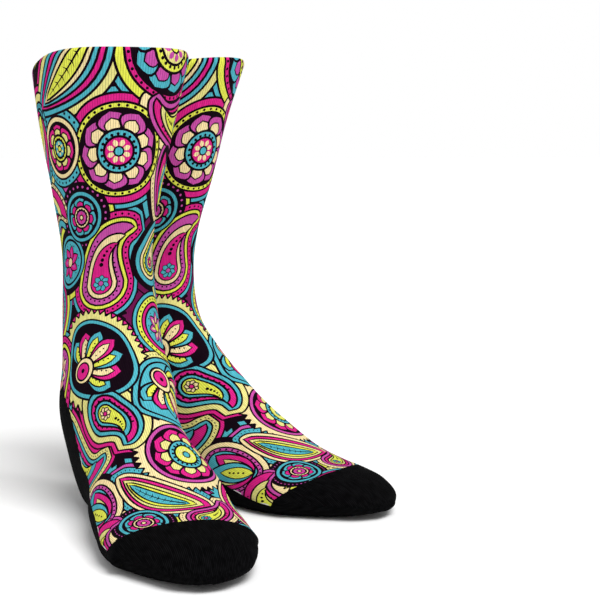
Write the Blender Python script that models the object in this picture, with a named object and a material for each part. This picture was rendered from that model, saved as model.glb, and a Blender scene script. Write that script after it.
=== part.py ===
"""A pair of knitted crew socks, filled out and standing on their soles.

Each sock is a hollow wall through a row of sections, from the open rim down the leg, round the heel
and out to the toe. The sock's own frame has +X from heel to toe, +Y to its left and the floor at Z = 0.
"""

import math
from collections import namedtuple

import bmesh
import bpy
from mathutils import Vector

MM = 0.001

# Driving dimensions
WALL_THICKNESS = 1.5 * MM
SEAM_GAP = 0.3 * MM
LEG_ROWS = 17
FOOT_ROWS = 17
TOE_ROWS = 8
FRONT_COLUMNS = 16
BACK_COLUMNS = 16
LEAN_START_HEIGHT = 60 * MM
LEAST_KNOT_STEP = 4  # millimetres between sections whose middles coincide

# One row for each section, in millimetres. front is the section's point on the shin, instep or toes,
# and back its point on the calf, heel or sole. A back point under the floor makes a flat sole there.
# left is how far the section's middle lies to the sock's left, for the outward curve of the foot.
Section = namedtuple("Section", "name front_x front_z back_x back_z width left squareness")
SECTIONS = (
    Section("rim", 124, 300, 1, 282, 94, 0, 2.0),
    Section("calf", 110, 259, -6, 243, 83, 0, 2.0),
    Section("low calf", 100, 218, -7, 204, 68, 0, 2.0),
    Section("shin", 88, 180, -1, 163, 57, 0, 2.0),
    Section("low shin", 83, 147, 8, 122, 61, 0, 2.0),
    Section("ankle", 89, 119, 13, 84, 66, 0, 2.0),
    Section("bend", 103, 101, 6, 47, 73, 1, 2.1),
    Section("heel", 118, 89, 9, 21, 67, 2, 2.0),
    Section("heel base", 130, 80, 34, -3, 63, 2, 2.0),
    Section("arch", 143, 68, 72, -4, 69, 2, 2.0),
    Section("waist", 160, 53, 108, -5, 82, 2, 2.1),
    Section("ball", 184, 38, 146, -6, 86, 0, 2.2),
    Section("toe roots", 202, 31, 179, -6, 88, -1, 2.3),
    Section("toes", 220, 27, 204, -5, 78, 1, 2.3),
    Section("toe ends", 236, 23, 227, -2, 62, 2, 2.2),
    Section("tip", 248, 16, 247, 3, 41, 1, 2.1),
    Section("tip end", 253, 12, 254, 5, 21, 0, 2.0),
)

# The heel's back is fuller than an ellipse. Its place and spread are counted in sections.
HEEL_FILL = 0.9
HEEL_FILL_PLACE = 7.7
HEEL_FILL_SPAN = 1.7

# Seams, counted in sections from the rim: 5.65 lies between the ankle and the bend.
HEEL_SEAM_AT_SIDE = 5.65
HEEL_SEAM_AT_BACK = 5.0
TOE_SEAM = 12.2

# The seam along each side of the foot, as an angle round the section from its front point.
SeamTurn = namedtuple("SeamTurn", "section degrees")
SIDE_SEAM = (
    SeamTurn(0.0, 92),
    SeamTurn(5.0, 92),
    SeamTurn(6.5, 88),
    SeamTurn(8.0, 100),
    SeamTurn(9.3, 94),
    SeamTurn(10.6, 88),
    SeamTurn(12.2, 95),
    SeamTurn(16.0, 95),
)

# Where each sock stands: its heel's place, the way its toe points, how far its leg leans for each
# metre of height, forwards and to its left, how far the knit has turned to the left on its form, and
# how much further the toe seam runs on top of the toes and down their left side, in sections.
Stance = namedtuple(
    "Stance",
    "name x y heading_degrees lean_forward lean_left twist_degrees toe_seam_on_top toe_seam_at_left",
)
STANCES = (
    Stance("front_sock", -83 * MM, -15 * MM, -71, 0.01, -0.015, 6, 0.2, 0.5),
    Stance("back_sock", -86 * MM, 54 * MM, -39, -0.02, 0.055, -6, 0.65, 0.0),
)
# The middle of the pair's plan, which becomes the origin.
PAIR_CENTRE = (3.1 * MM, -88.8 * MM)

# Colour and roughness
PATTERNED_KNIT = ((0.12, 0.36, 0.42, 1.0), 0.85)
BLACK_KNIT = ((0.012, 0.012, 0.014, 1.0), 0.9)


def clear_scene():
    for obj in list(bpy.data.objects):
        bpy.data.objects.remove(obj, do_unlink=True)


def section_knots():
    """Distance run along the middles of the sections, which spaces the curve through them."""
    knots = [0.0]
    for upper, lower in zip(SECTIONS, SECTIONS[1:]):
        run_x = (lower.front_x + lower.back_x - upper.front_x - upper.back_x) / 2
        run_z = (lower.front_z + lower.back_z - upper.front_z - upper.back_z) / 2
        knots.append(knots[-1] + math.hypot(run_x, run_z) + LEAST_KNOT_STEP)
    return knots


KNOTS = section_knots()


def slope(values, index):
    """Slope of the smooth curve through the values at one of its knots."""
    if index == 0:
        return (values[1] - values[0]) / (KNOTS[1] - KNOTS[0])
    if index == len(values) - 1:
        return (values[-1] - values[-2]) / (KNOTS[-1] - KNOTS[-2])
    step_in = KNOTS[index] - KNOTS[index - 1]
    step_out = KNOTS[index + 1] - KNOTS[index]
    slope_in = (values[index] - values[index - 1]) / step_in
    slope_out = (values[index + 1] - values[index]) / step_out
    return (slope_in * step_out + slope_out * step_in) / (step_in + step_out)


def smooth_value(values, place):
    """The value at a place counted in sections, on a cubic curve through all of them."""
    index = min(int(place), len(values) - 2)
    part = place - index
    step = KNOTS[index + 1] - KNOTS[index]
    start, end = values[index], values[index + 1]
    start_slope = slope(values, index) * step
    end_slope = slope(values, index + 1) * step
    square, cube = part**2, part**3
    return (
        (2 * cube - 3 * square + 1) * start
        + (cube - 2 * square + part) * start_slope
        + (3 * square - 2 * cube) * end
        + (cube - square) * end_slope
    )


def section_at(place):
    columns = list(zip(*SECTIONS))[1:]
    return [smooth_value(values, place) for values in columns]


def side_seam_angle(place):
    for start, end in zip(SIDE_SEAM, SIDE_SEAM[1:]):
        if place <= end.section:
            part = (place - start.section) / (end.section - start.section)
            return math.radians(start.degrees + part * (end.degrees - start.degrees))
    return math.radians(SIDE_SEAM[-1].degrees)


def flattened_power(value, squareness):
    return math.copysign(abs(value) ** (2 / squareness), value)


def heel_fill_at(place):
    """How much the back of the section is fuller than an ellipse."""
    return HEEL_FILL * math.exp(-(((place - HEEL_FILL_PLACE) / HEEL_FILL_SPAN) ** 2))


def wall_point(place, angle, stance):
    """A point of the outer face, in the sock's frame."""
    front_x, front_z, back_x, back_z, width, left, squareness = section_at(place)
    squareness += heel_fill_at(place) * max(-math.cos(angle), 0.0)
    along = flattened_power(math.cos(angle), squareness)
    across = flattened_power(math.sin(angle), squareness)
    x = (front_x + back_x) / 2 + (front_x - back_x) / 2 * along
    z = (front_z + back_z) / 2 + (front_z - back_z) / 2 * along
    point = Vector((x, left + width / 2 * across, max(z, 0.0))) * MM
    rise = max(point.z - LEAN_START_HEIGHT, 0.0)
    point.x += stance.lean_forward * rise
    point.y += stance.lean_left * rise
    return point


def column_angle(column, seam_angle, twist):
    """Columns run round to the left from the front. The side seams lie on columns of their own."""
    half_front = FRONT_COLUMNS // 2
    left_seam = seam_angle + twist
    right_seam = 2 * math.pi - seam_angle + twist
    if column <= half_front:
        return left_seam * column / half_front
    if column <= half_front + BACK_COLUMNS:
        return left_seam + (right_seam - left_seam) * (column - half_front) / BACK_COLUMNS
    past_seam = column - half_front - BACK_COLUMNS
    return right_seam + (2 * math.pi - right_seam) * past_seam / half_front


def heel_seam_place(angle):
    """The heel seam runs level round the back, so it climbs through the tilted sections there."""
    turned = abs(math.remainder(angle, 2 * math.pi))
    part = max(turned - math.pi / 2, 0.0) / (math.pi / 2)
    rise = part * part * (3 - 2 * part)
    return HEEL_SEAM_AT_SIDE + rise * (HEEL_SEAM_AT_BACK - HEEL_SEAM_AT_SIDE)


def toe_seam_place(angle, stance):
    on_top = max(math.cos(angle), 0.0)
    at_left = max(math.sin(angle), 0.0) ** 2
    return TOE_SEAM + stance.toe_seam_on_top * on_top + stance.toe_seam_at_left * at_left


def row_place(row, angle, stance):
    heel_seam = heel_seam_place(angle)
    toe_seam = toe_seam_place(angle, stance)
    if row <= LEG_ROWS:
        return heel_seam * row / LEG_ROWS
    if row <= LEG_ROWS + FOOT_ROWS:
        return heel_seam + (toe_seam - heel_seam) * (row - LEG_ROWS) / FOOT_ROWS
    toe_row = row - LEG_ROWS - FOOT_ROWS
    return toe_seam + (len(SECTIONS) - 1 - toe_seam) * toe_row / TOE_ROWS


def wall_grid(stance):
    """Outer points and outward normals, by row and column."""
    columns = FRONT_COLUMNS + BACK_COLUMNS
    rows = LEG_ROWS + FOOT_ROWS + TOE_ROWS
    points = []
    for row in range(rows + 1):
        line = []
        for column in range(columns):
            seam_angle = side_seam_angle(row_place(row, -math.pi / 2, stance))
            angle = column_angle(column, seam_angle, math.radians(stance.twist_degrees))
            line.append(wall_point(row_place(row, angle, stance), angle, stance))
        points.append(line)
    normals = []
    for row in range(rows + 1):
        upper = points[max(row - 1, 0)]
        lower = points[min(row + 1, rows)]
        line = []
        for column in range(columns):
            round_it = points[row][(column + 1) % columns] - points[row][column - 1]
            down_it = lower[column] - upper[column]
            line.append(down_it.cross(round_it).normalized())
        normals.append(line)
    return points, normals


def seam_shift(points, zone, row, column):
    """How far a point on a zone's edge draws back from the seam. The rim is no seam."""
    columns = len(points[0])
    down_pull = 0
    round_pull = 0
    for cell_row, down in ((row - 1, -1), (row, 1)):
        for cell_column, around in ((column - 1, -1), (column, 1)):
            if 0 <= cell_row < len(points) - 1 and (cell_row, cell_column % columns) not in zone:
                down_pull -= down
                round_pull -= around
    shift = Vector((0, 0, 0))
    if down_pull:
        towards = points[row + (1 if down_pull > 0 else -1)][column]
        shift += (towards - points[row][column]).normalized() * SEAM_GAP / 2
    if round_pull:
        towards = points[row][(column + (1 if round_pull > 0 else -1)) % columns]
        shift += (towards - points[row][column]).normalized() * SEAM_GAP / 2
    return shift


def thick_zone(grid, cells, closed_end):
    """The wall over a set of grid cells as one closed mesh, with the last row capped if it is closed."""
    points, normals = grid
    columns = len(points[0])
    last_row = len(points) - 1
    mesh = bmesh.new()
    zone = set(cells)
    outer, inner = {}, {}
    for cell_row, cell_column in cells:
        for row in (cell_row, cell_row + 1):
            for column in (cell_column, (cell_column + 1) % columns):
                if (row, column) in outer:
                    continue
                point = points[row][column] + seam_shift(points, zone, row, column)
                outer[row, column] = mesh.verts.new(point)
                inner[row, column] = mesh.verts.new(point - normals[row][column] * WALL_THICKNESS)
    edges = []
    for cell_row, cell_column in cells:
        beside = (cell_column + 1) % columns
        ring = (
            (cell_row, cell_column),
            (cell_row + 1, cell_column),
            (cell_row + 1, beside),
            (cell_row, beside),
        )
        mesh.faces.new([outer[key] for key in ring])
        mesh.faces.new([inner[key] for key in reversed(ring)])
        edges.extend(zip(ring, ring[1:] + ring[:1]))
    directed = set(edges)
    for start, end in edges:
        shared = (end, start) in directed
        capped = closed_end and start[0] == end[0] == last_row
        if not shared and not capped:
            mesh.faces.new((outer[end], outer[start], inner[start], inner[end]))
    if closed_end:
        mesh.faces.new([outer[last_row, column] for column in reversed(range(columns))])
        mesh.faces.new([inner[last_row, column] for column in range(columns)])
    bmesh.ops.triangulate(mesh, faces=mesh.faces[:])
    return mesh


def knit_material(name, look):
    colour, roughness = look
    material = bpy.data.materials.new(name)
    material.use_nodes = True
    shader = material.node_tree.nodes["Principled BSDF"]
    shader.inputs["Base Color"].default_value = colour
    shader.inputs["Roughness"].default_value = roughness
    shader.inputs["Metallic"].default_value = 0.0
    material.diffuse_color = colour
    return material


def add_zone(name, mesh, look, parent):
    data = bpy.data.meshes.new(name)
    mesh.to_mesh(data)
    mesh.free()
    data.shade_smooth()
    data.materials.append(knit_material(name + "_knit", look))
    obj = bpy.data.objects.new(name, data)
    bpy.context.scene.collection.objects.link(obj)
    obj.parent = parent
    return obj


def add_sock(stance):
    place = bpy.data.objects.new(stance.name, None)
    place.location = (stance.x - PAIR_CENTRE[0], stance.y - PAIR_CENTRE[1], 0)
    place.rotation_euler = (0, 0, math.radians(stance.heading_degrees))
    bpy.context.scene.collection.objects.link(place)

    grid = wall_grid(stance)
    columns = FRONT_COLUMNS + BACK_COLUMNS
    sole_columns = range(FRONT_COLUMNS // 2, FRONT_COLUMNS // 2 + BACK_COLUMNS)
    toe_start = LEG_ROWS + FOOT_ROWS
    leg = [(row, column) for row in range(LEG_ROWS) for column in range(columns)]
    foot = [(row, column) for row in range(LEG_ROWS, toe_start) for column in range(columns)]
    heel_and_sole = [cell for cell in foot if cell[1] in sole_columns]
    instep = [cell for cell in foot if cell[1] not in sole_columns]
    toe = [(row, column) for row in range(toe_start, toe_start + TOE_ROWS) for column in range(columns)]
    add_zone(stance.name + "_body", thick_zone(grid, leg + instep, False), PATTERNED_KNIT, place)
    add_zone(stance.name + "_heel_sole", thick_zone(grid, heel_and_sole, False), BLACK_KNIT, place)
    add_zone(stance.name + "_toe", thick_zone(grid, toe, True), BLACK_KNIT, place)


clear_scene()
for stance in STANCES:
    add_sock(stance)
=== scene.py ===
import math
import random
import bmesh
import bpy
import numpy as np
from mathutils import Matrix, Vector
from mathutils.bvhtree import BVHTree
from mathutils.geometry import delaunay_2d_cdt


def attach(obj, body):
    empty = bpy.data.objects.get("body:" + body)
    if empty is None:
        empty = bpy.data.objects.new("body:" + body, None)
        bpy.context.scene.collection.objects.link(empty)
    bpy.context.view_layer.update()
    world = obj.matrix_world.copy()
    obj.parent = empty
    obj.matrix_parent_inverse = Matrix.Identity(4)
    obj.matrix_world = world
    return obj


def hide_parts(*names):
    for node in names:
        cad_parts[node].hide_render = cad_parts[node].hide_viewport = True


print("loading the frame")
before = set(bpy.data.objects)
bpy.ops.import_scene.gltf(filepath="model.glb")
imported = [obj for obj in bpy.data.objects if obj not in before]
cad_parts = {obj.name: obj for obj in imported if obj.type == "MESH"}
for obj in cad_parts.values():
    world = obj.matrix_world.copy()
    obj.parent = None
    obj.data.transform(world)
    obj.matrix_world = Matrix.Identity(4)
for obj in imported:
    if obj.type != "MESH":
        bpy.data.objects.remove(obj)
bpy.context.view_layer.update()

# a white studio with one large soft light from the right
studio = {
    "cameraPlace": (-0.0031, -0.9412, 0.250),
    "tiltDown": 6.6,
    "turnRight": 3.39,
    "lens": 88.0,
    "clip": (0.05, 50.0),
    "floorSize": 12.0,
    "floorColour": (0.98, 0.98, 0.98, 1.0),
    "floorRoughness": 0.9,
    "floorShine": 0.1,
    "roomColour": (1.0, 1.0, 1.0, 1.0),
    "roomLight": 0.56,  # how strongly the room lights the socks
    "roomSeen": 1.0,  # how bright it looks behind them
    "softLight": 2.60,
    "softLightSpread": 36.0,
    "softLightFrom": (0.48, -0.80, 1.50),
}


def addObject(data):
    item = bpy.data.objects.new(data.name, data)
    bpy.context.scene.collection.objects.link(item)
    return item


def finishedMesh(bm, name):
    mesh = bpy.data.meshes.new(name)
    bm.to_mesh(mesh)
    bm.free()
    return mesh


def addCamera(look):
    data = bpy.data.cameras.new("camera")
    data.lens = look["lens"]
    data.clip_start, data.clip_end = look["clip"]
    camera = addObject(data)
    camera.location = look["cameraPlace"]
    camera.rotation_euler = (math.radians(90 - look["tiltDown"]), 0, math.radians(-look["turnRight"]))
    bpy.context.scene.camera = camera


def addSoftLight(look):
    data = bpy.data.lights.new("softLight", "SUN")
    data.energy = look["softLight"]
    data.angle = math.radians(look["softLightSpread"])
    light = addObject(data)
    light.location = look["softLightFrom"]
    light.rotation_euler = (-light.location).to_track_quat("-Z", "Y").to_euler()


def feed(node, values):
    # sets a node's inputs, or links them to other nodes' outputs
    for key, value in values.items():
        if isinstance(value, bpy.types.NodeSocket):
            node.id_data.links.new(value, node.inputs[key])
        else:
            node.inputs[key].default_value = value


def nodeMaker(tree):
    # short calls for the nodes of one tree
    def add(kind, values=None, **settings):
        node = tree.nodes.new(kind)
        for key, value in settings.items():
            setattr(node, key, value)
        feed(node, values or {})
        return node

    def maths(operation, first, second=0.0, third=0.0):
        return add("ShaderNodeMath", {0: first, 1: second, 2: third}, operation=operation).outputs[0]

    return add, maths


def ranged(add, value, low=0.0, high=1.0, toLow=0.0, toHigh=1.0):
    values = {"Value": value, "From Min": low, "From Max": high, "To Min": toLow, "To Max": toHigh}
    return add("ShaderNodeMapRange", values).outputs["Result"]


def newMaterial(name):
    material = bpy.data.materials.new(name)
    material.use_nodes = True
    return material, material.node_tree.nodes["Principled BSDF"]


def addRoom(look):
    world = bpy.data.worlds.new("room")
    world.use_nodes = True
    add, _ = nodeMaker(world.node_tree)
    seen = add("ShaderNodeLightPath").outputs["Is Camera Ray"]
    strength = ranged(add, seen, toLow=look["roomLight"], toHigh=look["roomSeen"])
    feed(world.node_tree.nodes["Background"], {"Color": look["roomColour"], "Strength": strength})
    bpy.context.scene.world = world
    bpy.context.scene.view_settings.view_transform = "Standard"


def addFloor(look):
    bm = bmesh.new()
    bmesh.ops.create_grid(bm, x_segments=1, y_segments=1, size=look["floorSize"])
    floor = addObject(finishedMesh(bm, "floor"))
    material, shader = newMaterial("floorPaper")
    feed(shader, {"Base Color": look["floorColour"], "Roughness": look["floorRoughness"],
                  "Specular IOR Level": look["floorShine"]})
    floor.data.materials.append(material)


print("camera, lights and floor")
addCamera(studio)
addSoftLight(studio)
addRoom(studio)
addFloor(studio)

# the knitted tube, in millimetres: front is the shin, instep and toes, back is the calf, heel and sole
sections = [
    # name, frontX, frontZ, backX, backZ, width, left, squareness
    ("rim", 124, 300, 1, 282, 94, 0, 2.0),
    ("calf", 110, 259, -6, 243, 83, 0, 2.0),
    ("low calf", 100, 218, -7, 204, 68, 0, 2.0),
    ("shin", 88, 180, -1, 163, 57, 0, 2.0),
    ("low shin", 83, 147, 8, 122, 61, 0, 2.0),
    ("ankle", 89, 119, 13, 84, 66, 0, 2.0),
    ("bend", 103, 101, 6, 47, 73, 1, 2.1),
    ("heel", 118, 89, 9, 21, 67, 2, 2.0),
    ("heel base", 130, 80, 34, -3, 63, 2, 2.0),
    ("arch", 143, 68, 72, -4, 69, 2, 2.0),
    ("waist", 160, 53, 108, -5, 82, 2, 2.1),
    ("ball", 184, 38, 146, -6, 86, 0, 2.2),
    ("toe roots", 202, 31, 179, -6, 88, -1, 2.3),
    ("toes", 220, 27, 204, -5, 78, 1, 2.3),
    ("toe ends", 236, 23, 227, -2, 62, 2, 2.2),
    ("tip", 248, 16, 247, 3, 41, 1, 2.1),
    ("tip end", 253, 12, 254, 5, 21, 0, 2.0),
]
perMetre = 1000

tube = {
    "wall": 0.0015,  # in metres, like the height from where the leg leans
    "leanStart": 0.060,
    "leastKnotStep": 4.0,  # keeps the curve through close sections calm
    "soleSoftness": 1.1,  # how gently the sides turn onto the flat sole
    "earSpan": 0.22,  # an ear's spread along the foot and, as a turn, round it
    "earTurn": 19,
    "earForward": 0.7,  # how far an ear points to the toes too, as a share
    "tipBulge": 1.6,  # how far the toe rounds out past its last section
    "heelFill": 0.9,  # how much fuller the heel's back is than an ellipse, and where
    "heelFillAt": 7.3,
    "heelFillSpan": 1.4,
    "heelSeamAtSide": 5.65,  # places are counted in sections from the rim
    "heelSeamAtBack": 5.0,
    "toeSeam": 12.2,
    "rimRound": 0.70,  # the radius of the rim's rounded edge
    "rimTurn": 1.8,  # how far the rim turns in, over how many sections
    "rimTurnSpan": 0.11,
    "rimFillSpan": 0.8,  # how far down the rim's own shape fades
    "repeat": 290.0,  # the print's and the knit's width once round
    "mapPlaces": 401,  # the fineness of the cloth's map, down the tube and round it
    "mapTurns": 721,
    "frontTurn": 100,  # how far to each side the cloth's length is measured
}

# where each side seam between print and sole runs, as a turn from the front
sideSeam = [(0.0, 92), (5.0, 92), (6.5, 88), (8.0, 100), (9.3, 94), (10.6, 88), (12.2, 95), (16.0, 95)]

# rimFill makes the rim squarer than an ellipse and rimLift raises its sides
# ears are the small corners at the toe seam's ends: turn, place and height
socks = [
    {"name": "front_sock", "x": -0.083, "y": -0.015, "heading": -71, "leanForward": 0.01, "leanLeft": -0.015,
     "twist": 6, "toeSeamOnTop": 0.2, "toeSeamAtLeft": 0.5, "rimFill": 0.55, "rimLift": 3.2,
     "ears": [(90, 12.75, 1.5), (262, 12.55, 3.0)]},
    {"name": "back_sock", "x": -0.086, "y": 0.054, "heading": -39, "leanForward": -0.02, "leanLeft": 0.055,
     "twist": -6, "toeSeamOnTop": 0.65, "toeSeamAtLeft": 0.0, "rimFill": 0.05, "rimLift": 0.5,
     "ears": [(90, 12.6, 1.2), (262, 12.5, 1.2)]},
]
pairCentre = (0.0031, -0.0888)
halfRepeat = tube["repeat"] / 2


def runningSum(steps):
    # running totals along each row, from nought
    return np.concatenate([np.zeros((*steps.shape[:-1], 1)), np.cumsum(steps, axis=-1)], axis=-1)


def strides(grid, axis):
    # the distances between neighbours in a grid of points
    return np.linalg.norm(np.diff(grid, axis=axis), axis=2)


profile = np.array([row[1:] for row in sections], float)
lastPlace = len(sections) - 1
middles = (profile[:, 0:2] + profile[:, 2:4]) / 2
knots = runningSum(np.hypot(*np.diff(middles, axis=0).T) + tube["leastKnotStep"])
knotSteps = np.diff(knots)[:, None]
rises = np.diff(profile, axis=0) / knotSteps
bends = (rises[:-1] * knotSteps[1:] + rises[1:] * knotSteps[:-1]) / (knotSteps[:-1] + knotSteps[1:])
slopes = np.vstack([rises[:1], bends, rises[-1:]])


def sectionsAt(places):
    # the seven section values at each place, on a smooth curve
    places = np.clip(places, 0.0, lastPlace)
    index = np.minimum(places.astype(int), lastPlace - 1)
    part = (places - index)[:, None]
    step = knotSteps[index]
    square, cube = part**2, part**3
    return (
        (2 * cube - 3 * square + 1) * profile[index]
        + (cube - 2 * square + part) * slopes[index] * step
        + (3 * square - 2 * cube) * profile[index + 1]
        + (cube - square) * slopes[index + 1] * step
    )


def flattened(values, squareness):
    return np.sign(values) * np.abs(values) ** (2 / squareness)


def fading(distance, span):
    # from one down to nearly nothing over a couple of spans
    return np.exp(-((distance / span) ** 2))


def wallPoints(places, angles, sock):
    # points of the outer face, in metres; places past the last section round the toe off
    frontX, frontZ, backX, backZ, width, left, squareness = sectionsAt(places).T
    atHeel = fading(places - tube["heelFillAt"], tube["heelFillSpan"])
    atRim = fading(places, tube["rimFillSpan"])
    squareness = squareness + tube["heelFill"] * atHeel * np.maximum(-np.cos(angles), 0.0)
    squareness = squareness + sock["rimFill"] * atRim
    turnIn = 2 * tube["rimTurn"] * np.clip(1 - places / tube["rimTurnSpan"], 0.0, 1.0) ** 2
    past = np.clip(places - lastPlace, 0.0, 1.0) * math.pi / 2
    along = flattened(np.cos(angles), squareness) * np.cos(past)
    across = flattened(np.sin(angles), squareness) * np.cos(past)
    x = (frontX + backX) / 2 + (frontX - backX - turnIn) / 2 * along + tube["tipBulge"] * np.sin(past)
    y = left + (width - turnIn) / 2 * across
    z = (frontZ + backZ) / 2 + (frontZ - backZ) / 2 * along + sock["rimLift"] * atRim * np.sin(angles) ** 2
    z = (z + np.sqrt(z**2 + tube["soleSoftness"] ** 2)) / 2
    for turn, place, height in sock["ears"]:
        aside = np.degrees(angles) % 360 - turn
        ear = height * fading(places - place, tube["earSpan"]) * fading(aside, tube["earTurn"])
        x = x + ear * tube["earForward"]
        y = y + ear * math.sin(math.radians(turn))
    x, y, z = x / perMetre, y / perMetre, z / perMetre
    rise = np.maximum(z - tube["leanStart"], 0.0)
    x = x + sock["leanForward"] * rise
    y = y + sock["leanLeft"] * rise
    heading = math.radians(sock["heading"])
    c, s = math.cos(heading), math.sin(heading)
    return np.stack([
        c * x - s * y + sock["x"] - pairCentre[0],
        s * x + c * y + sock["y"] - pairCentre[1],
        z,
    ], axis=-1)


def wallNormals(places, angles, sock):
    step = 1e-3
    down = wallPoints(places + step, angles, sock) - wallPoints(np.maximum(places - step, 0), angles, sock)
    aside = wallPoints(places, angles + step, sock) - wallPoints(places, angles - step, sock)
    out = np.cross(down, aside)
    return out / np.linalg.norm(out, axis=1)[:, None]


def fabricMap(sock):
    # relates turns and places on the tube to the cloth's own millimetres across and down
    placeLine = np.linspace(0, lastPlace, tube["mapPlaces"])
    angleLine = np.linspace(-math.pi, math.pi, tube["mapTurns"])
    places = np.repeat(placeLine, len(angleLine))
    angles = np.tile(angleLine, len(placeLine))
    grid = wallPoints(places, angles, sock).reshape(len(placeLine), len(angleLine), 3) * perMetre
    run = runningSum(strides(grid, 1))
    girth = run[:, -1]
    toFront = run[:, [len(angleLine) // 2]]
    across = (run - toFront) / np.where(run < toFront, toFront, run[:, -1:] - toFront) * halfRepeat
    acrossLine = np.linspace(-halfRepeat, halfRepeat, len(angleLine))
    turns = np.stack([np.interp(acrossLine, row, angleLine) for row in across])
    front = np.abs(angleLine) < math.radians(tube["frontTurn"])
    length = strides(grid, 0)[:, front].mean(axis=1)
    down = length * tube["repeat"] * 2 / (girth[1:] + girth[:-1])
    return {"places": placeLine, "angles": angleLine, "across": across, "acrossLine": acrossLine,
            "turns": turns, "length": runningSum(length), "down": runningSum(down), "girth": girth}


def fromTable(table, rowLine, columnLine, rows, columns):
    # reads a table between its lines
    def spot(line, values):
        at = np.interp(values, line, np.arange(len(line)))
        before = np.minimum(at.astype(int), len(line) - 2)
        return before, at - before

    (r, down), (c, across) = spot(rowLine, rows), spot(columnLine, columns)
    upper, lower = (table[k, c] * (1 - across) + table[k, c + 1] * across for k in (r, r + 1))
    return upper * (1 - down) + lower * down


def fromFront(angles):
    # the same turns, counted from the front to either side
    return np.remainder(angles + math.pi, 2 * math.pi) - math.pi


def tubeToCloth(cloth, places, angles):
    a = fromTable(cloth["across"], cloth["places"], cloth["angles"], places, fromFront(angles))
    return a, np.interp(places, cloth["places"], cloth["down"])


def heelSeamPlace(angles):
    # the seam is level round the back, so it climbs through the tilted sections there
    part = np.maximum(np.abs(fromFront(angles)) - math.pi / 2, 0.0) / (math.pi / 2)
    rise = part * part * (3 - 2 * part)
    return tube["heelSeamAtSide"] + rise * (tube["heelSeamAtBack"] - tube["heelSeamAtSide"])


def seamTurns(shares, sock):
    # the turns of the left and right side seams at shares of the way down the foot
    sidePlaces = tube["heelSeamAtSide"] + shares * (tube["toeSeam"] - tube["heelSeamAtSide"])
    turn = np.radians(np.interp(sidePlaces, *zip(*sideSeam)))
    twist = math.radians(sock["twist"])
    return turn + twist, 2 * math.pi - turn + twist


def toeSeamPlace(angles, sock):
    onTop = np.maximum(np.cos(angles), 0.0)
    atLeft = np.maximum(np.sin(angles), 0.0) ** 2
    return tube["toeSeam"] + sock["toeSeamOnTop"] * onTop + sock["toeSeamAtLeft"] * atLeft


def footPlaces(shares, angles, sock):
    heel = heelSeamPlace(angles)
    return heel + (toeSeamPlace(angles, sock) - heel) * shares


# the print is drawn flat in millimetres: x runs round the sock and y down it
inks = {
    "plum": (0.0065, 0.0018, 0.0058),
    "wine": (0.160, 0.008, 0.080),
    "teal": (0.085, 0.465, 0.560),
    "slate": (0.085, 0.190, 0.370),
    "magenta": (0.740, 0.020, 0.250),
    "orchid": (0.600, 0.085, 0.400),
    "lime": (0.800, 0.840, 0.095),
    "cream": (0.950, 0.770, 0.400),
    "straw": (0.840, 0.780, 0.270),
    "white": (0.850, 0.840, 0.830),
}

design = {
    "seed": 31,
    "firstRow": -4,  # motifs lie between here and the height
    "height": 440.0,
    "line": 1.45,  # the width of the dark outlines
    "motifSize": 1.06,
    "clearance": 3.6,  # the least gap between motifs
    "tries": 2600,  # for each kind of motif
    "lean": 1.1,  # how far an upright motif may lean, in radians
    "grounds": ["plum", "teal", "plum", "orchid", "teal"],  # behind motifs that don't fill their edge
    "leastCorners": 7,  # a circle has these and more with its size
    "cornersForSize": 2.6,
    "edgeStep": 2.0,  # spacing of the corners on a motif's edge and on its bands
    "bandStep": 2.4,
    # bands that echo each motif's edge, from the inside out: their widths, and sets of finishes
    "bandWidths": [2.4, 4.0, 2.6, 4.6, 3.2, 4.6, 5.0],
    "finishes": [
        "plain beads plain rays plain plain plain",
        "plain plain plain plain plain beads plain",
        "plain ticks plain plain plain beads plain",
        "plain rays plain plain plain plain plain",
        "beads plain plain rays plain plain plain",
    ],
    "rays": {"spacing": 5.4, "half": 2.6, "reach": 4.4, "sunk": 0.8, "outline": 0.42},
    "beads": {"spacing": 4.7, "radius": 0.95},
    "ticks": {"spacing": 3.3, "half": 1.1, "thin": 0.5},
}

# colours for a motif's bands from the inside out, then for its own four parts
colourways = [
    ("cream teal orchid plum lime magenta teal wine", "magenta straw lime teal"),
    ("teal plum lime orchid magenta straw wine slate", "teal magenta cream orchid"),
    ("lime magenta teal plum straw teal wine orchid", "orchid cream teal magenta"),
    ("teal straw magenta plum lime orchid wine slate", "magenta teal cream lime"),
    ("magenta lime teal wine orchid cream plum slate", "teal orchid lime straw"),
    ("cream teal plum wine lime slate orchid plum", "lime teal magenta cream"),
    ("orchid cream plum teal magenta lime wine plum", "magenta straw teal lime"),
]


def turned(points, x, y, angle, size=1.0, flip=1):
    c, s = math.cos(angle), math.sin(angle)
    return [(x + size * (c * px * flip - s * py), y + size * (s * px * flip + c * py)) for px, py in points]


def circle(x, y, r, corners=None):
    corners = corners or int(design["leastCorners"] + r * design["cornersForSize"])
    return [(x + dx, y + dy) for dx, dy, _ in around(corners, r)]


def around(count, radius, start=0.0):
    # places evenly round a circle, each with its turn
    turns = [2 * math.pi * (k + start) / count for k in range(count)]
    return [(radius * math.cos(t), radius * math.sin(t), t) for t in turns]


def unit(a, b):
    # the direction from one point to another
    dx, dy = b[0] - a[0], b[1] - a[1]
    run = math.hypot(dx, dy) or 1.0
    return dx / run, dy / run


def signedArea(loop):
    return sum(p[0] * q[1] - p[1] * q[0] for p, q in zip(loop, loop[1:] + loop[:1])) / 2


def aside(point, way, by):
    # a point moved to the left of a direction
    return point[0] - by * way[1], point[1] + by * way[0]


def ways(loop):
    # the direction in which a closed line passes each of its corners
    return list(map(unit, loop[-1:] + loop[:-1], loop[1:] + loop[:1]))


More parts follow.
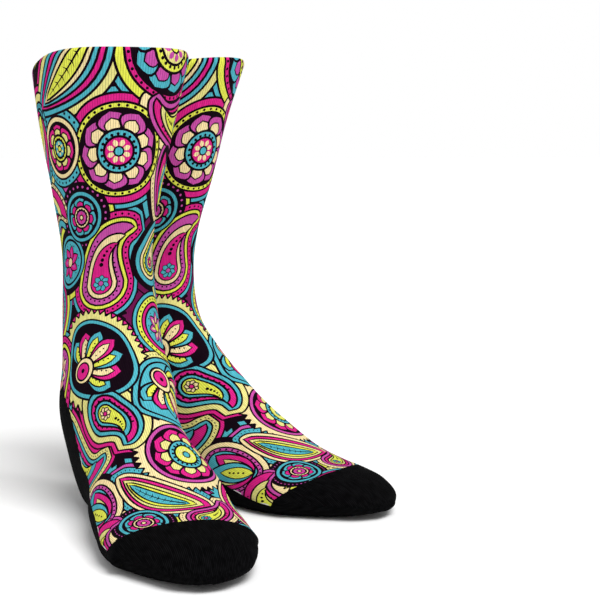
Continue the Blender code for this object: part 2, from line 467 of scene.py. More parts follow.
def grown(points, by):
    # moves each corner straight out from the shape's edge
    left = -by if signedArea(points) > 0 else by
    return [aside(point, way, left) for point, way in zip(points, ways(points))]


def resampled(points, step):
    # the same closed line with corners spaced evenly
    line = np.array(points + points[:1])
    runs = runningSum(np.hypot(*np.diff(line, axis=0).T))
    at = np.linspace(0, runs[-1], max(8, int(round(runs[-1] / step))), endpoint=False)
    return list(zip(*(np.interp(at, runs, values).tolist() for values in line.T)))


def smoothLoop(half, steps=6):
    # a closed curve through a few points and their mirror images
    points = half + [(x, -y) for x, y in reversed(half[1:-1])]
    out = []
    for k in range(len(points)):
        p, q, r, s = (np.array(points[(k + j) % len(points)]) for j in (-1, 0, 1, 2))
        for j in range(steps):
            t = j / steps
            spot = q + 0.5 * t * (r - p + t * (2 * p - 5 * q + 4 * r - s + t * (3 * (q - r) + s - p)))
            out.append((float(spot[0]), float(spot[1])))
    return out


def petal(length, width, widest=0.62, steps=8):
    # a petal from the origin along x, widest at the given share of its length
    fullness = 0.8
    power = math.log(0.5) / math.log(widest)
    shares = [k / steps for k in range(steps + 1)]
    upper = [(length * share, width / 2 * math.sin(math.pi * share**power) ** fullness) for share in shares]
    return upper + [(x, -y) for x, y in reversed(upper[1:-1])]


def bowed(points, length):
    # bends a leaf that lies along x to one side, and centres it
    bow = length * 0.16
    return [(x - length / 2, y + bow * math.sin(math.pi * min(max(x / length, 0), 1))) for x, y in points]


def spine(length, bend, steps):
    x = y = 0.0
    line = []
    for k in range(steps + 1):
        turn = bend * (k / steps) ** 2
        line.append((x, y, turn))
        x += math.cos(turn) * length / steps
        y += math.sin(turn) * length / steps
    return line


def drop(length, width, bend, steps=22):
    # a round bulb at the origin whose tip curls over to one side
    taper, capSteps = 0.75, 10
    line = spine(length, bend, steps)
    halves = [width / 2 * (1 - k / steps) ** taper for k in range(steps + 1)]
    left, right = ([(x - side * math.sin(t) * h, y + side * math.cos(t) * h)
                    for (x, y, t), h in zip(line, halves)] for side in (1, -1))
    turns = [math.pi * k / capSteps for k in range(1, capSteps)]
    cap = [(-width / 2 * math.sin(t), width / 2 * math.cos(t)) for t in turns]
    return cap + right[:-1] + left[::-1]


def ribbon(line, widths):
    # a stroke along a line of points, with a width for each point
    bends = list(zip(line, map(unit, line[:1] + line[:-1], line[1:] + line[-1:]), widths))
    left, right = ([aside(point, way, side * wide / 2) for point, way, wide in bends] for side in (1, -1))
    return left + right[::-1]


def outlined(points, ink, line=1.0):
    # a shape over a dark one, which is larger by a share of the outlines' width
    return [(grown(points, design["line"] * line), "plum"), (points, ink)]


def dots(points, radius, ink="plum", corners=7):
    return [(circle(x, y, radius, corners), ink) for x, y, *_ in points]


def inkedDisc(ink, line, r, corners=None, x=0.0):
    return outlined(circle(x, 0, r, corners), ink, line)


def inkedPetal(ink, line, place, *shape):
    # place is where the petal starts and its turn
    return outlined(turned(petal(*shape), *place), ink, line)


# the motifs: sizes in millimetres, parts in shares of those, and their inks a to d
def rosette(r, petals, a, b, c, d):
    # two rows of petals, a beaded ring, and a small daisy in the middle
    parts = []
    wide = 2 * math.pi * r * 0.9 / petals
    for place in around(petals, r * 0.42):
        parts += inkedPetal(a, 1.0, place, r * 0.58, wide * 1.05, 0.6)
        parts += inkedPetal(b, 0.6, place, r * 0.40, wide * 0.58, 0.6, 6)
    parts += inkedDisc(c, 1.0, r * 0.52)
    parts += dots(around(petals * 2, r * 0.435, 0.5), r * 0.03 + 0.28)
    parts += inkedDisc(d, 1.0, r * 0.34)
    for place in around(petals - 1, r * 0.09):
        parts.append((turned(petal(r * 0.22, r * 0.13, 0.6, 5), *place), b))
    return parts + inkedDisc(c, 0.7, r * 0.1, 9)


def starFlower(r, points, a, b, c, d):
    # pointed leaves over a beaded disc
    parts = inkedDisc(a, 1.0, r)
    parts += dots(around(points * 2, r * 0.84, 0.5), 0.65)
    for place in around(points, r * 0.1):
        parts += inkedPetal(b, 0.8, (0, 0, place[2]), r * 0.78, r * 0.40, 0.45, 7)
        parts.append((turned(petal(r * 0.52, r * 0.15, 0.45, 5), *place), d))
    return parts + inkedDisc(c, 0.7, r * 0.2, 12)


def paisley(length, width, bend, a, b, c, d):
    # nested drops with a dotted border, shrinking beads and a small flower
    outer = drop(length, width, bend)
    parts = outlined(outer, a)
    edge = resampled(grown(outer, -width * 0.075), 4.2)
    parts += dots([p for p in edge if p[0] < length * 0.62], 0.85)
    parts += outlined(drop(length * 0.80, width * 0.70, bend * 0.9, 18), b)
    parts += outlined(drop(length * 0.64, width * 0.48, bend * 0.8, 16), d, 0.8)
    for k, (x, y, _) in enumerate(spine(length * 0.60, bend * 0.8, 9)[4:]):
        parts.append((circle(x, y, width * (0.052 - 0.007 * k), 8), "plum"))
    for place in around(7, 0.0, 0.2):
        parts += inkedPetal(c, 0.5, place, width * 0.19, width * 0.115, 0.6, 5)
    return parts + inkedDisc(a, 0.5, width * 0.055, 8)


def stripedLeaf(length, width, a, b, c, d):
    # a bent leaf with lengthwise stripes and a toothed midrib
    parts = []
    for share, ink, line in ((1.0, a, 1.0), (0.76, b, 0.9), (0.53, c, 0.9), (0.31, d, 0.9)):
        shape = petal(length * (0.5 + share / 2), width * share, 0.46, 14)
        shape = [(x + length * (1 - share) * 0.3, y) for x, y in shape]
        parts += outlined(bowed(shape, length), ink, line)
    rib = bowed([(length * (0.24 + 0.56 * k / 8), 0.0) for k in range(9)], length)
    parts.append((ribbon(rib, [1.5 - 0.14 * k for k in range(9)]), "plum"))
    for k in range(1, 8):
        x, y = rib[k]
        reach = width * 0.12 * math.sin(math.pi * k / 9) + 0.4
        for side in (1, -1):
            parts.append(([(x - 0.45, y), (x + 1.5, y + side * reach), (x + 0.45, y)], "plum"))
    return parts


def palmette(r, a, b, c, d):
    # a fan of seven petals over a round base, the outer ones first
    parts = []
    for k in (0, 6, 1, 5, 2, 4, 3):
        place = (0, 0, math.radians(-78 + 26 * k))
        long = r * (1.05 + 0.32 * math.cos(place[2]))
        outside, inside = (a, c) if k % 2 else (b, d)
        parts += inkedPetal(outside, 1.0, place, long, r * 0.54, 0.68, 9)
        parts += inkedPetal(inside, 0.7, place, long * 0.84, r * 0.29, 0.68, 7)
        parts += dots(turned([(long * share, 0) for share in (0.44, 0.56, 0.67)], *place), 0.6)
    parts += inkedDisc(c, 1.0, r * 0.36, x=r * 0.02) + inkedDisc(a, 0.8, r * 0.23, x=-r * 0.02)
    return parts + dots([(0, 0)], r * 0.07, corners=9)


def tulip(size, a, b, c, d):
    # three cupped petals with stamens
    parts = []
    low, high = -size * 0.42, -size * 0.40
    for side in (1, -1):
        parts += inkedPetal(a, 1.0, (low, 0, side * 0.44), size, size * 0.50, 0.42, 10)
        parts += inkedPetal(b, 0.7, (high, 0, side * 0.45), size * 0.78, size * 0.26, 0.42, 8)
    parts += inkedPetal(c, 1.0, (low, 0, 0), size * 0.98, size * 0.52, 0.45, 10)
    parts += inkedPetal(d, 0.7, (high, 0, 0), size * 0.70, size * 0.29, 0.45, 8)
    return parts + dots([(size * share + high, 0) for share in (0.20, 0.31, 0.41, 0.50)], size * 0.028)


motifs = {
    # how many to try for, the drawing, the edge for its bands, and circles that keep others off
    "paisley": {"wanted": 8, "draw": paisley, "sizes": (58, 35, 1.8), "upright": True,
                "edge": drop(58, 35, 1.8), "keeps": [(0, 0, 18), (17, 1, 14), (31, 6, 10), (41, 17, 6)]},
    "leaf": {"wanted": 6, "draw": stripedLeaf, "sizes": (72, 29), "edge": bowed(petal(72, 29, 0.46, 16), 72),
             "keeps": [(-22, 7, 9), (-6, 11, 14), (11, 10, 12.5), (25, 4, 7)]},
    "palmette": {"wanted": 5, "draw": palmette, "sizes": (22,), "upright": True, "grounded": True,
                 "edge": smoothLoop([(-11, 0), (-4, -17), (10, -29), (25, -22), (34, 0)]),
                 "keeps": [(4, 0, 15), (13, 13, 14), (13, -13, 14), (21, 0, 12)]},
    "rosette": {"wanted": 5, "draw": rosette, "sizes": (23, 9), "edge": circle(0, 0, 23.5, 44),
                "keeps": [(0, 0, 24)]},
    "tulip": {"wanted": 6, "draw": tulip, "sizes": (35,), "upright": True, "grounded": True,
              "edge": smoothLoop([(-17, 0), (-7, -13), (9, -19), (20, -15), (22, 0)]),
              "keeps": [(0, 0, 14), (9, 8, 11.5), (9, -8, 11.5)]},
    "star": {"wanted": 5, "draw": starFlower, "sizes": (16, 7), "edge": circle(0, 0, 16.5, 34),
             "keeps": [(0, 0, 17)]},
    "smallPaisley": {"wanted": 9, "draw": paisley, "sizes": (36, 22, 1.6), "edge": drop(36, 22, 1.6),
                     "keeps": [(0, 0, 11.5), (11, 0.5, 9), (21, 4, 6), (27, 11, 4)]},
    "smallRosette": {"wanted": 10, "draw": rosette, "sizes": (13.5, 7), "edge": circle(0, 0, 14, 32),
                     "keeps": [(0, 0, 14.5)]},
}


def scatterMotifs(rnd):
    # drops motifs on the cloth wherever they keep clear of the others
    wide, high = tube["repeat"], design["height"]
    taken = np.zeros((0, 3))
    placed = []
    for kind, motif in motifs.items():
        keeps = np.array(motif["keeps"], float) * design["motifSize"]
        found = 0
        for _ in range(design["tries"]):
            if found == motif["wanted"]:
                break
            x, y = rnd.uniform(-wide / 2, wide / 2), rnd.uniform(design["firstRow"], high)
            angle, flip = rnd.uniform(-math.pi, math.pi), rnd.choice((1, -1))
            if motif.get("upright"):
                angle = -math.pi / 2 + rnd.uniform(-design["lean"], design["lean"])
            spots = np.array(turned(keeps[:, :2].tolist(), x, y, angle, 1.0, flip))
            if len(taken):
                dx = np.abs(spots[:, None, 0] - taken[:, 0]) % wide
                away = np.hypot(np.minimum(dx, wide - dx), spots[:, None, 1] - taken[:, 1])
                if (away - keeps[:, None, 2] - taken[:, 2]).min() < design["clearance"]:
                    continue
            taken = np.vstack([taken, np.column_stack([spots, keeps[:, 2]])])
            placed.append((motif, x, y, angle, flip))
            found += 1
        print("  ", kind, found)
    return placed


def bandParts(edge, width, finish, ink, nextInk):
    # one echo band; edge is its outer line
    look = design.get(finish)
    parts = []
    if finish == "rays":
        ray = [(-look["half"], 0), (look["half"], 0), (0, -look["reach"])]
        points = resampled(grown(edge, -look["sunk"]), look["spacing"])
        for (x, y), way in zip(points, ways(points)):
            for size, colour in ((1.0 + design["line"] * look["outline"], "plum"), (1.0, ink)):
                parts.append((turned(ray, x, y, math.atan2(way[1], way[0]), size), colour))
        parts.append((edge, ink))
    else:
        parts += outlined(edge, ink)
    middle = grown(edge, -width / 2)
    spot = "plum" if ink not in ("plum", "wine") else nextInk
    if finish == "beads":
        parts += dots(resampled(middle, look["spacing"]), look["radius"], spot)
    elif finish == "ticks":
        half, thin = look["half"], look["thin"]
        for x, y in resampled(middle, look["spacing"]):
            parts.append(([(x, y - half), (x + thin, y), (x, y + half), (x - thin, y)], spot))
    return parts


def gardenPrint():
    # the print's shapes, the lowest first: bands from the outside in, then the motifs
    rnd = random.Random(design["seed"])
    grounds = design["grounds"]
    drawn = []
    for k, (motif, x, y, angle, flip) in enumerate(scatterMotifs(rnd)):
        bandInks, own = rnd.choice(colourways)
        finishes = rnd.choice(design["finishes"]).split()
        parts = motif["draw"](*motif["sizes"], *own.split())
        if motif.get("grounded"):
            parts.insert(0, (motif["edge"], grounds[k % len(grounds)]))
        move = (x, y, angle, design["motifSize"], flip)
        parts = [(turned(points, *move), ink) for points, ink in parts]
        drawn.append((turned(motif["edge"], *move), parts, bandInks.split(), finishes))
    shapes = []
    for level, width in reversed(list(enumerate(design["bandWidths"]))):
        reach = sum(design["bandWidths"][:level + 1], (level + 1) * design["line"])
        for edge, _, bandInks, finishes in drawn:
            line = resampled(grown(resampled(edge, design["edgeStep"]), reach), design["bandStep"])
            nextInk = bandInks[(level + 2) % len(bandInks)]
            shapes += bandParts(line, width, finishes[level], bandInks[level], nextInk)
    for edge, parts, _, _ in drawn:
        shapes.append((grown(edge, design["line"]), "plum"))
        shapes += parts
    return shapes


cuts = {
    "seamSteps": 120,  # rows from heel seam to toe seam
    "heelPoints": 40,  # on each side of the heel seam
    "toePoints": 90,
    "edgeStep": 1.5,  # spacing of the points along rim and back, in millimetres
    "outsideStep": 3.6,  # spacing of the points that follow the tube's curves
    "insideStep": 4.5,
    "firstStep": 0.6,  # their first row, as a share of the spacing
    "rimRows": (0.08, 0.24, 0.45, 1.3, 2.4, 3.6, 5.0),
    "ground": "plum",
    "sliverSeed": 4,
    "sliverShares": (0.30, 0.62, 0.82, 0.93),  # where bare yarn shows down the foot
    "sliverShift": 3,  # how many rows a sliver may sit higher or lower
    "sliverRows": (5, 9),
    "sliverWidth": 1.1,
    "sliverTip": 0.15,
    "sliverInset": 0.1,
    "tolerance": 1e-4,  # how near cut lines come before they are one
    "nearBack": 1e-3,
    "weld": 2e-6,  # how near two corners are welded, in metres
}


def cutFlat(loops, edges, points):
    # cuts cloth along closed loops and single edges, and tells each triangle's topmost loop
    points = [Vector(point) for point in points]
    faces = []
    for loop in loops:
        faces.append(list(range(len(points), len(points) + len(loop))))
        points.extend(Vector(p) for p in (loop if signedArea(loop) > 0 else loop[::-1]))
    allTriangles, sourcesToo = 0, True
    cut = delaunay_2d_cdt(points, edges, faces, allTriangles, cuts["tolerance"], sourcesToo)
    spots, _, triangles, _, _, sources = cut
    kept = [k for k, found in enumerate(sources) if 0 in found]
    top = np.array([max(sources[k]) for k in kept])
    used, triangles = np.unique(np.array([triangles[k] for k in kept]), return_inverse=True)
    return np.array([tuple(spots[k]) for k in used]), triangles.reshape(-1, 3), top


def wrapped(shapes):
    # repeats what crosses the back line, and drops what misses the cloth
    out = []
    for points, ink in shapes:
        for shift in (0.0, tube["repeat"], -tube["repeat"]):
            moved = [(x + shift, y) for x, y in points]
            low, high = np.min(moved, axis=0), np.max(moved, axis=0)
            if high[0] > -halfRepeat and low[0] < halfRepeat and high[1] > 0 and low[1] < design["height"]:
                out.append((moved, ink))
    return out


def printedCloth():
    # lays the shapes over each other and keeps the lines where two inks meet
    height = design["height"]
    sheet = [(-halfRepeat, 0.0), (halfRepeat, 0.0), (halfRepeat, height), (-halfRepeat, height)]
    shapes = wrapped(gardenPrint())
    for _ in range(2):  # the second time without the shapes that others hide
        spots, triangles, top = cutFlat([sheet] + [points for points, _ in shapes], [], [])
        names = [cuts["ground"]] + [ink for _, ink in shapes]
        shown = np.unique(top)
        shapes = [shapes[k - 1] for k in shown if k > 0]
    inkOf = np.array([list(inks).index(name) for name in names])[top]
    sides = np.sort(np.concatenate([triangles[:, pair] for pair in ([0, 1], [1, 2], [2, 0])]), axis=1)
    order = np.lexsort((sides[:, 1], sides[:, 0]))
    sides, sideInk = sides[order], np.tile(inkOf, 3)[order]
    meets = np.nonzero((sides[1:] == sides[:-1]).all(axis=1) & (sideInk[1:] != sideInk[:-1]))[0]
    used, lines = np.unique(sides[meets], return_inverse=True)
    flat = [(x, y, 0.0) for x, y in spots]
    print("  ", len(shapes), "shapes show")
    return {"points": spots[used].tolist(), "lines": lines.reshape(-1, 2).tolist(), "inks": inkOf,
            "tree": BVHTree.FromPolygons(flat, triangles.tolist())}


def inksAt(garden, flat, triangles, bare):
    # each triangle's place on the ramp of inks
    middles = flat[triangles].mean(axis=1)
    found = [garden["tree"].find_nearest((x, y, 0.0))[2] for x, y in middles]
    shown = np.where(bare, list(inks).index("white"), garden["inks"][found])
    return (shown + 0.5) / len(inks)


def within(corners, points):
    # which points lie inside a closed line of corners
    inside = np.zeros(len(points), bool)
    for (ax, ay), (bx, by) in zip(corners, corners[1:] + corners[:1]):
        if ay != by:
            crosses = (ay > points[:, 1]) != (by > points[:, 1])
            inside ^= crosses & (points[:, 0] < (bx - ax) * (points[:, 1] - ay) / (by - ay) + ax)
    return inside


def evenly(length):
    steps = int(length / cuts["edgeStep"])
    return [length * k / steps for k in range(steps + 1)]


def rowAcross(b):
    # points straight across the cloth, b millimetres down from the rim
    return [(-halfRepeat + a, b) for a in evenly(tube["repeat"])]


def bodyBorder(cloth, sock):
    # the cloth's edge, once round: rim, back, heel seam, side seam, toe seam and up again
    shares = np.linspace(0, 1, cuts["seamSteps"] + 1)
    left, right = seamTurns(shares, sock)
    right = right - 2 * math.pi
    corners = rowAcross(0.0)

    def addRun(shares, angles):
        a, b = tubeToCloth(cloth, footPlaces(shares, angles, sock), angles)
        corners.extend(zip(a.tolist(), b.tolist()))

    backLine = evenly(float(np.interp(tube["heelSeamAtBack"], cloth["places"], cloth["down"])))[1:]
    corners.extend((halfRepeat, b) for b in backLine)
    justShort = 1e-6  # of the back line, where the turns jump to the other side
    addRun(0.0, np.linspace(math.pi - justShort, left[0], cuts["heelPoints"])[1:])
    heelEnds = [len(corners)]
    addRun(shares[1:], left[1:])
    addRun(1.0, np.linspace(left[-1], right[-1], cuts["toePoints"])[1:])
    addRun(shares[-2::-1], right[-2::-1])
    heelEnds.append(len(corners) - 1)
    addRun(0.0, np.linspace(right[0], -math.pi, cuts["heelPoints"])[1:-1])
    corners.extend((-halfRepeat, b) for b in reversed(backLine))
    return corners, heelEnds


def bareSlivers(border, heelEnds):
    # thin slips of bare yarn where the print stopped short of the sole
    rnd = random.Random(cuts["sliverSeed"])
    shift = cuts["sliverShift"]
    slivers = []
    for share in cuts["sliverShares"]:
        for first, inward in zip(heelEnds, (1, -1)):
            start = first + inward * int(share * cuts["seamSteps"] + rnd.uniform(-shift, shift))
            count = rnd.randrange(*cuts["sliverRows"])
            run = [border[start + inward * k] for k in range(count + 1)]
            outer, inner = [], []
            for k in range(1, count):
                way = unit(run[k - 1], run[k + 1])
                wide = inward * (cuts["sliverTip"] + cuts["sliverWidth"] * math.sin(math.pi * k / count))
                outer.append(aside(run[k], way, wide * cuts["sliverInset"]))
                inner.append(aside(run[k], way, wide))
            slivers.append(outer + inner[::-1])
    return slivers


def followingPoints(border, step):
    # points that let the cloth follow the tube's curves, with close rows at the rim
    across = np.arange(-halfRepeat + step / 2, halfRepeat, step)
    down = np.arange(step * cuts["firstStep"], max(b for _, b in border), step)
    grid = np.array([(a + (step / 4 if k % 2 else -step / 4), b) for k, b in enumerate(down) for a in across])
    points = grid[within(border, grid)].tolist()
    edges = []
    for b in cuts["rimRows"]:
        row = rowAcross(b)
        edges.extend((k, k + 1) for k in range(len(points), len(points) + len(row) - 1))
        points.extend(row)
    return points, edges


def edgeLoop(triangles):
    # the corners round the outside of a cut cloth, in order
    sides = {(a, b) for corners in triangles.tolist() for a, b in zip(corners, corners[1:] + corners[:1])}
    after = {a: b for a, b in sides if (b, a) not in sides}
    loop = [next(iter(after))]
    while after[loop[-1]] != loop[0]:
        loop.append(after[loop[-1]])
    return loop


def onTube(flat, cloth, sock, depth):
    # puts flat cloth on the tube, a depth into its wall, with the rim rounded over
    places = np.interp(flat[:, 1], cloth["down"], cloth["places"])
    angles = fromTable(cloth["turns"], cloth["places"], cloth["acrossLine"], places, flat[:, 0])
    radius = tube["rimRound"] / perMetre
    run = flat[:, 1] / perMetre * cloth["girth"][0] / tube["repeat"]
    fall = radius - np.sqrt(np.maximum(radius**2 - np.maximum(radius - run, 0) ** 2, 0))
    into = depth - fall if depth else fall
    length = np.interp(places, cloth["places"], cloth["length"])
    points = wallPoints(places, angles, sock) - wallNormals(places, angles, sock) * into[:, None]
    return points, np.stack([flat[:, 0], length], axis=1) / perMetre


def flatMesh(name, points, triangles, spots, inkShares):
    mesh = bpy.data.meshes.new(name)
    mesh.from_pydata(points.tolist(), [], triangles.tolist())
    knit = mesh.uv_layers.new(name="knit")
    knit.uv.foreach_set("vector", spots[triangles.ravel()].ravel())
    ink = mesh.attributes.new("ink", "FLOAT", "FACE")
    ink.data.foreach_set("value", inkShares)
    spot = mesh.attributes.new("spot", "INT", "POINT")
    spot.data.foreach_set("value", range(len(points)))
    return mesh


def isLoose(edge):
    return len(edge.link_faces) != 2


def printedBody(sock, cloth):
    # leg and instep: the print outside, plain cloth inside, a rounded rim and closed seams
    border, heelEnds = bodyBorder(cloth, sock)
    points, edges = followingPoints(border, cuts["outsideStep"])
    shift = len(points)
    edges = edges + [(a + shift, b + shift) for a, b in garden["lines"]]
    flat, triangles, top = cutFlat([border] + bareSlivers(border, heelEnds), edges, points + garden["points"])
    inkShares = inksAt(garden, flat, triangles, top > 0)
    inner, innerEdges = followingPoints(border, cuts["insideStep"])
    innerFlat, innerTriangles, _ = cutFlat([[tuple(flat[k]) for k in edgeLoop(triangles)]], innerEdges, inner)
    outerPoints, outerSpots = onTube(flat, cloth, sock, 0.0)
    deepPoints, _ = onTube(flat, cloth, sock, tube["wall"])
    innerPoints, innerSpots = onTube(innerFlat, cloth, sock, tube["wall"])
    outside = flatMesh("outside", outerPoints, triangles[:, ::-1], outerSpots, inkShares)
    inside = flatMesh("inside", innerPoints, innerTriangles, innerSpots, np.zeros(len(innerTriangles)))
    bm = bmesh.new()
    bm.from_mesh(outside)
    spot = bm.verts.layers.int["spot"]
    atBack = [v for v in bm.verts if halfRepeat - abs(flat[v[spot], 0]) < cuts["nearBack"]]
    bmesh.ops.remove_doubles(bm, verts=atBack, dist=cuts["weld"])
    outerFaces = len(bm.faces)
    rims = [edge for edge in bm.edges if isLoose(edge)]
    for part in bmesh.ops.extrude_edge_only(bm, edges=rims)["geom"]:
        if isinstance(part, bmesh.types.BMVert):
            part.co = deepPoints[part[spot]]
    bm.from_mesh(inside)
    bm.faces.ensure_lookup_table()
    for face in bm.faces[outerFaces:]:
        face.material_index = 1
    seams = [v for v in bm.verts if any(isLoose(edge) for edge in v.link_edges)]
    bmesh.ops.remove_doubles(bm, verts=seams, dist=cuts["weld"])
    mesh = finishedMesh(bm, sock["name"] + "_printed_body")
    mesh.attributes.remove(mesh.attributes["spot"])
    bpy.data.meshes.remove(outside)
    bpy.data.meshes.remove(inside)
    return mesh


blackShells = {
    "soleAcross": 96,
    "toeAcross": 128,
    "toeDown": 64,
    "toeBody": 0.86,  # the share of the toe's rows that reach its last section; the rest round it off
}


def clothGrid(name, across, down, sock, toTube, toSpots):
    # a grid laid on the tube, its columns round it; toSpots gives its knit in one or more parts
    bm = bmesh.new()
    bmesh.ops.create_grid(bm, x_segments=across, y_segments=down, size=1.0)
    column = np.array([round((v.co.x + 1) / 2 * across) for v in bm.verts])
    row = np.array([round((v.co.y + 1) / 2 * down) for v in bm.verts])
    places, angles = toTube(column / across, row / down)
    points = wallPoints(places, angles, sock)
    grid = np.zeros((down + 1, across + 1, 5))
    grid[row, column] = np.column_stack([points, places, angles])
    spots = toSpots(grid[:, :, :3], grid[:, :, 3], grid[:, :, 4])
    knit = bm.loops.layers.uv.new("knit")
    for face in bm.faces:
        first = min(column[v.index] for v in face.verts)
        sheet = spots[int((first + 0.5) / across * len(spots))]
        for corner in face.loops:
            corner[knit].uv = sheet[row[corner.vert.index], column[corner.vert.index]]
    for v in bm.verts:
        v.co = points[v.index]
    bmesh.ops.reverse_faces(bm, faces=bm.faces[:])
    bmesh.ops.remove_doubles(bm, verts=bm.verts[:], dist=cuts["weld"])
    return finishedMesh(bm, name)


def blackHeelSole(sock, cloth):
    def toTube(shareAcross, shareDown):
        left, right = seamTurns(shareDown, sock)
        angles = left + (right - left) * shareAcross
        return footPlaces(shareDown, angles, sock), angles

    def toSpots(points, places, angles):
        justPast = 1e-9
        a, _ = tubeToCloth(cloth, places.ravel(), angles.ravel())
        rounds = np.floor((angles + math.pi) / (2 * math.pi) + justPast)
        a = a.reshape(places.shape) + tube["repeat"] * rounds
        return [np.stack([a, np.interp(places, cloth["places"], cloth["length"])], axis=2) / perMetre]

    size = (blackShells["soleAcross"], cuts["seamSteps"])
    return clothGrid(sock["name"] + "_black_heel_sole", *size, sock, toTube, toSpots)


def blackToe(sock, cloth):
    def toTube(shareAcross, shareDown):
        angles = math.pi + 2 * math.pi * shareAcross
        seam = toeSeamPlace(angles, sock)
        along = shareDown / blackShells["toeBody"]
        past = (shareDown - blackShells["toeBody"]) / (1 - blackShells["toeBody"])
        return np.where(along < 1, seam + along * (lastPlace - seam), lastPlace + past), angles

    def toSpots(points, places, angles):
        # columns of stitches run straight on from the seam, and the sides narrow in on them
        run = runningSum(strides(points, 1))
        seam = np.interp(places[0], cloth["places"], cloth["length"]) / perMetre
        down = runningSum(strides(points, 0).T).T + seam
        front = run[:, run.shape[1] // 2][:, None]
        scale = tube["repeat"] / perMetre / run[0, -1]
        starts = (run, run - front, run - front, run - run[:, -1:])
        return [np.stack([start * scale, down], axis=2) for start in starts]

    size = (blackShells["toeAcross"], blackShells["toeDown"])
    return clothGrid(sock["name"] + "_black_toe", *size, sock, toTube, toSpots)


knitLook = {
    "bare": 0.01,  # how much white yarn shows between the columns
    "whiteYarn": (0.75, 0.73, 0.72, 1.0),
    # what varies the print: random yarn and streaks as the knit's own tone, and the stitches' height and
    # columns as painted shade on the stitches, darker in the grooves and lighter on the stitch tops; the
    # range of their sum, and how dark and light it makes the inks
    "printToneAndStitchShade": {"Yarn": 0.40, "Streak": 0.45, "Column": 0.35, "Height": 0.25},
    "toneAndStitchShadeRange": (0.38, 1.08),
    "shades": (0.55, 1.27),
    "dashes": (0.34, 0.66),  # the streaks of plain yarn, and how light the dark ones stay
    "darkDash": 0.25,
    # scale and detail of the noise for wandering columns, for the yarn, and for streaks
    "wobble": (260.0, 2.0),
    "yarn": (1400.0, 3.0),
    "streak": (0.73, 1.0),
    "streakLength": 0.20,
    "slant": 1.3,  # how steep the legs of the Vs are
    "bead": 0.55,  # how far each stitch bulges
    "roughnessSpread": 0.06,
    "sheenRoughness": 0.5,
}

# each knit's stitches, in metres, how far its columns wander, and its yarn; a plain knit's two colours are
# painted shade in the grooves and painted highlight on the columns' middles; the print has no such pair
yarn = {"wale": 0.00145, "course": 0.00115, "wobble": 0.2, "depth": 0.00025, "roughness": 0.88, "sheen": 0.0,
        "shine": 0.015}
blackYarn = {**yarn, "wale": 0.00140, "shadedAndLitTones": ((0.0004, 0.0004, 0.0005, 1.0), (0.0082, 0.0082, 0.0092, 1.0))}
knits = {
    "printedKnit": {**yarn, "wobble": 0.12, "depth": 0.00022, "roughness": 0.82, "shine": 0.02},
    "blackKnit": {**blackYarn, "roughness": 0.86},
    "plainInside": {**yarn, "sheen": 0.1, "shine": 0.1,
                    "shadedAndLitTones": ((0.60, 0.585, 0.58, 1.0), (0.80, 0.79, 0.78, 1.0))},
    "blackInside": {**blackYarn, "wobble": 0.3, "depth": 0.0003},
}


def noise(add, vector, look):
    scale, detail = look
    return add("ShaderNodeTexNoise", {"Vector": vector, "Scale": scale, "Detail": detail}).outputs["Fac"]


def mixed(add, share, first, second, blend="MIX"):
    values = {"Fac": share, "Color1": first, "Color2": second}
    return add("ShaderNodeMixRGB", values, blend_type=blend).outputs["Color"]


def knitStitchGroup(look):
    # plain knit on the cloth's own map: columns of small Vs with a groove between them
    group = bpy.data.node_groups.new("knitStitches", "ShaderNodeTree")

    def socket(name, way, kind="NodeSocketFloat"):
        group.interface.new_socket(name, in_out=way, socket_type=kind)

    socket("Cloth", "INPUT", "NodeSocketVector")
    for name in ("Wale Pitch", "Course Pitch", "Wobble"):
        socket(name, "INPUT")
    add, maths = nodeMaker(group)
    given = add("NodeGroupInput").outputs
    split = add("ShaderNodeSeparateXYZ", {0: given["Cloth"]}).outputs
    wander = maths("SUBTRACT", noise(add, given["Cloth"], look["wobble"]), 0.5)
    sway = maths("MULTIPLY", wander, given["Wobble"])
    across = maths("ADD", maths("DIVIDE", split["X"], given["Wale Pitch"]), sway)
    down = maths("DIVIDE", split["Y"], given["Course Pitch"])
    # half a column is one leg of the V, highest a quarter of the way across
    middle = maths("ABSOLUTE", maths("SUBTRACT", maths("FRACT", across), 0.5))
    leg = maths("SUBTRACT", 1.0, maths("ABSOLUTE", maths("MULTIPLY", maths("SUBTRACT", middle, 0.25), 4.0)))
    legRound = maths("SINE", maths("MULTIPLY", leg, math.pi / 2))
    slant = maths("FRACT", maths("ADD", down, maths("MULTIPLY", middle, look["slant"])))
    bead = maths("MULTIPLY", maths("SINE", maths("MULTIPLY", slant, math.pi)), look["bead"])
    groove = maths("MULTIPLY", maths("SUBTRACT", 1.0, legRound), maths("GREATER_THAN", middle, 0.25))
    alongColumn = {"X": maths("FLOOR", across), "Y": maths("MULTIPLY", down, look["streakLength"])}
    streakMap = add("ShaderNodeCombineXYZ", alongColumn).outputs["Vector"]
    results = {
        "Height": maths("MULTIPLY", legRound, maths("ADD", bead, 1 - look["bead"])),
        "Groove": groove,
        "Yarn": noise(add, given["Cloth"], look["yarn"]),
        "Streak": noise(add, streakMap, look["streak"]),
        # one in the middle of a column and nought in the groove between, used as painted shade in the grooves
        "Column": maths("MULTIPLY_ADD", maths("COSINE", maths("MULTIPLY", middle, 2 * math.pi)), 0.5, 0.5),
    }
    for name in results:
        socket(name, "OUTPUT")
    add("NodeGroupOutput", results)
    return group


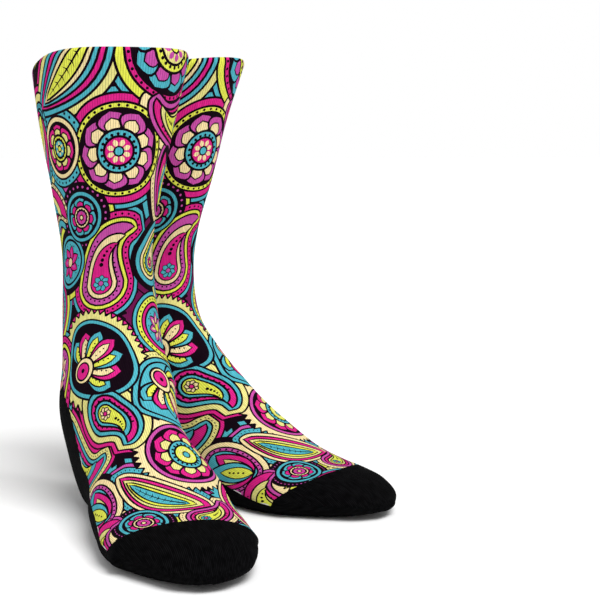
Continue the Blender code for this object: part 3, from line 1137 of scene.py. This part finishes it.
def printedColour(add, maths, stitches):
    ink = add("ShaderNodeAttribute", attribute_type="GEOMETRY", attribute_name="ink")
    ramp = add("ShaderNodeValToRGB", {"Fac": ink.outputs["Fac"]})
    ramp.color_ramp.interpolation = "CONSTANT"
    stops = ramp.color_ramp.elements
    while len(stops) < len(inks):
        stops.new(0.5)
    for k, colour in enumerate(inks.values()):
        stops[k].position = k / len(inks)
        stops[k].color = (*colour, 1.0)
    bare = maths("MULTIPLY", stitches["Groove"], knitLook["bare"])
    faded = mixed(add, bare, ramp.outputs["Color"], knitLook["whiteYarn"])
    # the ink's random tone from yarn and streaks, plus painted shade from the stitches' height and the
    # grooves between columns
    toneAndStitchShade = 0.0
    for name, share in knitLook["printToneAndStitchShade"].items():
        toneAndStitchShade = maths("MULTIPLY_ADD", stitches[name], share, toneAndStitchShade)
    shade = ranged(add, toneAndStitchShade, *knitLook["toneAndStitchShadeRange"], *knitLook["shades"])
    return mixed(add, 1.0, faded, shade, "MULTIPLY")


def plainColour(add, maths, stitches, shadedAndLitTones):
    # the darker colour in the grooves and the lighter one on the middle of each column, as painted shade and
    # highlight on the stitches; the highlight is dimmed along random streaks
    dash = ranged(add, stitches["Streak"], *knitLook["dashes"], knitLook["darkDash"])
    return mixed(add, maths("MULTIPLY", stitches["Column"], dash), *shadedAndLitTones)


def knitMaterial(name, group, look):
    material, shader = newMaterial(name)
    add, maths = nodeMaker(material.node_tree)
    stitches = add("ShaderNodeGroup", node_tree=group)
    feed(stitches, {"Cloth": add("ShaderNodeUVMap", uv_map="knit").outputs["UV"], "Wale Pitch": look["wale"],
                    "Course Pitch": look["course"], "Wobble": look["wobble"]})
    stitches = stitches.outputs
    if "shadedAndLitTones" in look:
        colour = plainColour(add, maths, stitches, look["shadedAndLitTones"])
    else:
        colour = printedColour(add, maths, stitches)
    bump = add("ShaderNodeBump", {"Height": stitches["Height"], "Distance": look["depth"], "Strength": 1.0})
    smoothest, roughest = (look["roughness"] + side * knitLook["roughnessSpread"] for side in (-1, 1))
    rough = ranged(add, stitches["Yarn"], toLow=smoothest, toHigh=roughest)
    feed(shader, {"Base Color": colour, "Normal": bump.outputs["Normal"], "Roughness": rough,
                  "Specular IOR Level": look["shine"], "Sheen Weight": look["sheen"],
                  "Sheen Roughness": knitLook["sheenRoughness"]})
    return material


# the zones of a sock: knits outside and inside, and the cloth's width all round, length and area in metres
blackZone = {"knits": ("blackKnit", "blackInside"), "slot": "black_knit", "solidify": True}
zones = {
    "body": {"knits": ("printedKnit", "plainInside"), "slot": "patterned_knit",
             "make": printedBody, "flat": (0.210, 0.360), "area": 0.0585},
    "heel_sole": {**blackZone, "make": blackHeelSole, "flat": (0.130, 0.260), "area": 0.024},
    "toe": {**blackZone, "make": blackToe, "flat": (0.200, 0.050), "area": 0.0080},
}


def addPiece(mesh, node, zone):
    for name in zone["knits"]:
        mesh.materials.append(materials[name])
    mesh.shade_smooth()
    piece = addObject(mesh)
    print("  ", piece.name, len(mesh.polygons), "faces")
    if zone.get("solidify"):
        wall = piece.modifiers.new("wall", "SOLIDIFY")
        wall.thickness = tube["wall"]
        wall.offset = -1.0
        wall.material_offset = 1
    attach(piece, "root")
    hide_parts(node)
    return piece


print("materials")
stitchGroup = knitStitchGroup(knitLook)
materials = {name: knitMaterial(name, stitchGroup, look) for name, look in knits.items()}

print("laying out the print")
garden = printedCloth()
for sock in socks:
    print("knitting", sock["name"])
    cloth = fabricMap(sock)
    for part, zone in zones.items():
        addPiece(zone["make"](sock, cloth), sock["name"] + "_" + part, zone)
